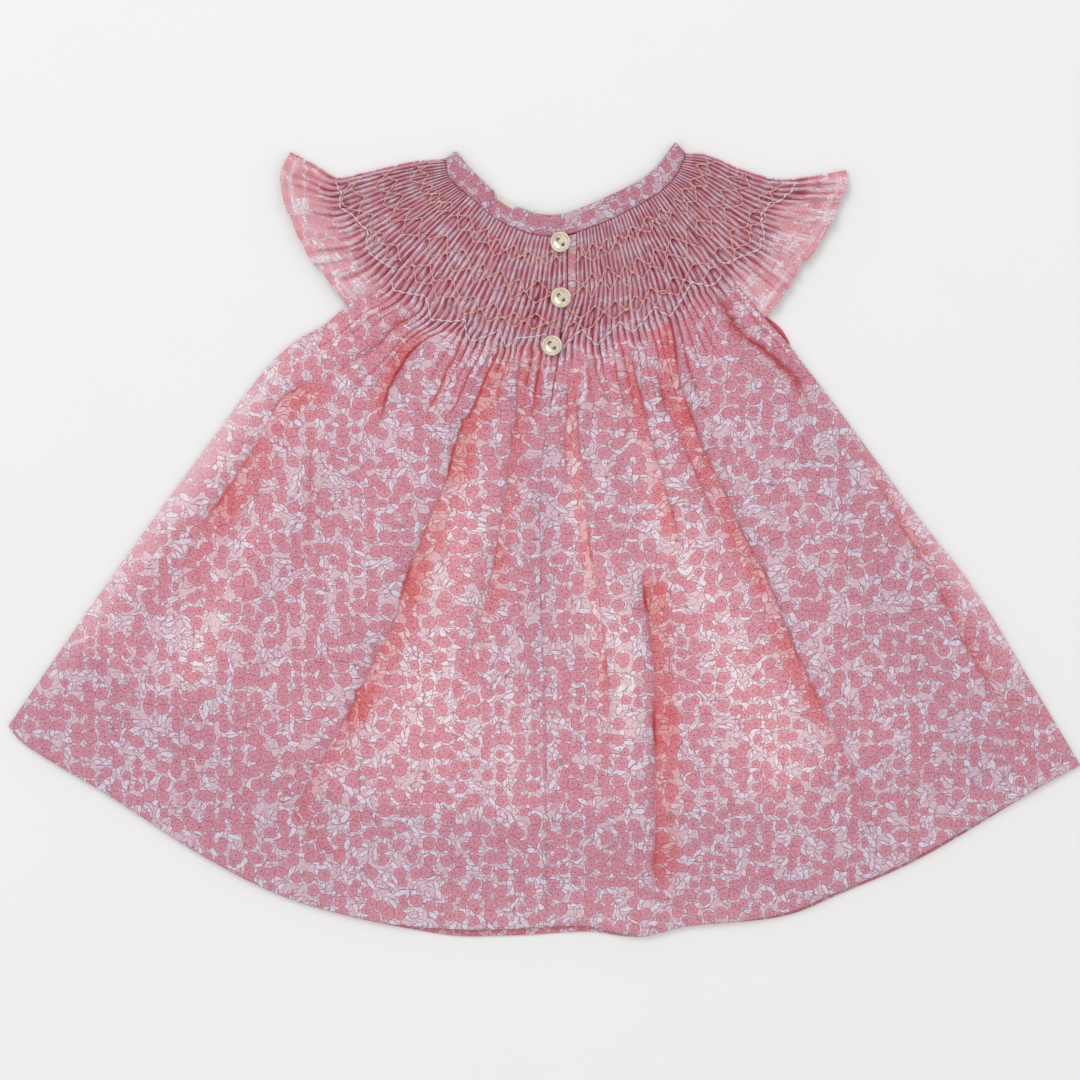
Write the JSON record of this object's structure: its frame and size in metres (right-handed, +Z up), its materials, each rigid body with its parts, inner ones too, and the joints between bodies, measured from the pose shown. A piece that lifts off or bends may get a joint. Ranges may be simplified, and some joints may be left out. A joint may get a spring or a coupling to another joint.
{
  "type": "toddler dress",
  "caption": "Smocked bishop-style cotton dress for a toddler, laid flat with its buttoned back upward, with ruffle sleeves, a narrow neckband and a full skirt.",
  "frame": {"origin": "under the middle of the whole dress, on the surface it lies on", "axes": "+Z up from the surface, +Y towards the neck, +X across the dress, to the right as seen from above"},
  "size_m": [0.5887, 0.4364, 0.0071],
  "materials": {
    "printed_cotton": "matt cotton lawn with a small floral print",
    "binding_cotton": "matt bound edge, seen in shadow",
    "label_tape": "smooth woven tape, blank",
    "pearl": "polished mother-of-pearl"
  },
  "bodies": {
    "root": {"back_left": "printed_cotton", "back_right": "printed_cotton", "front": "printed_cotton", "sleeve_left": "printed_cotton", "sleeve_right": "printed_cotton", "placket": "printed_cotton", "neckband_back_left": "printed_cotton", "neckband_back_right": "printed_cotton", "neckband_front": "printed_cotton", "underarm_binding_right": "binding_cotton", "label": "label_tape", "button_top": "pearl", "button_middle": "pearl", "button_bottom": "pearl"}
  },
  "joints": []
}
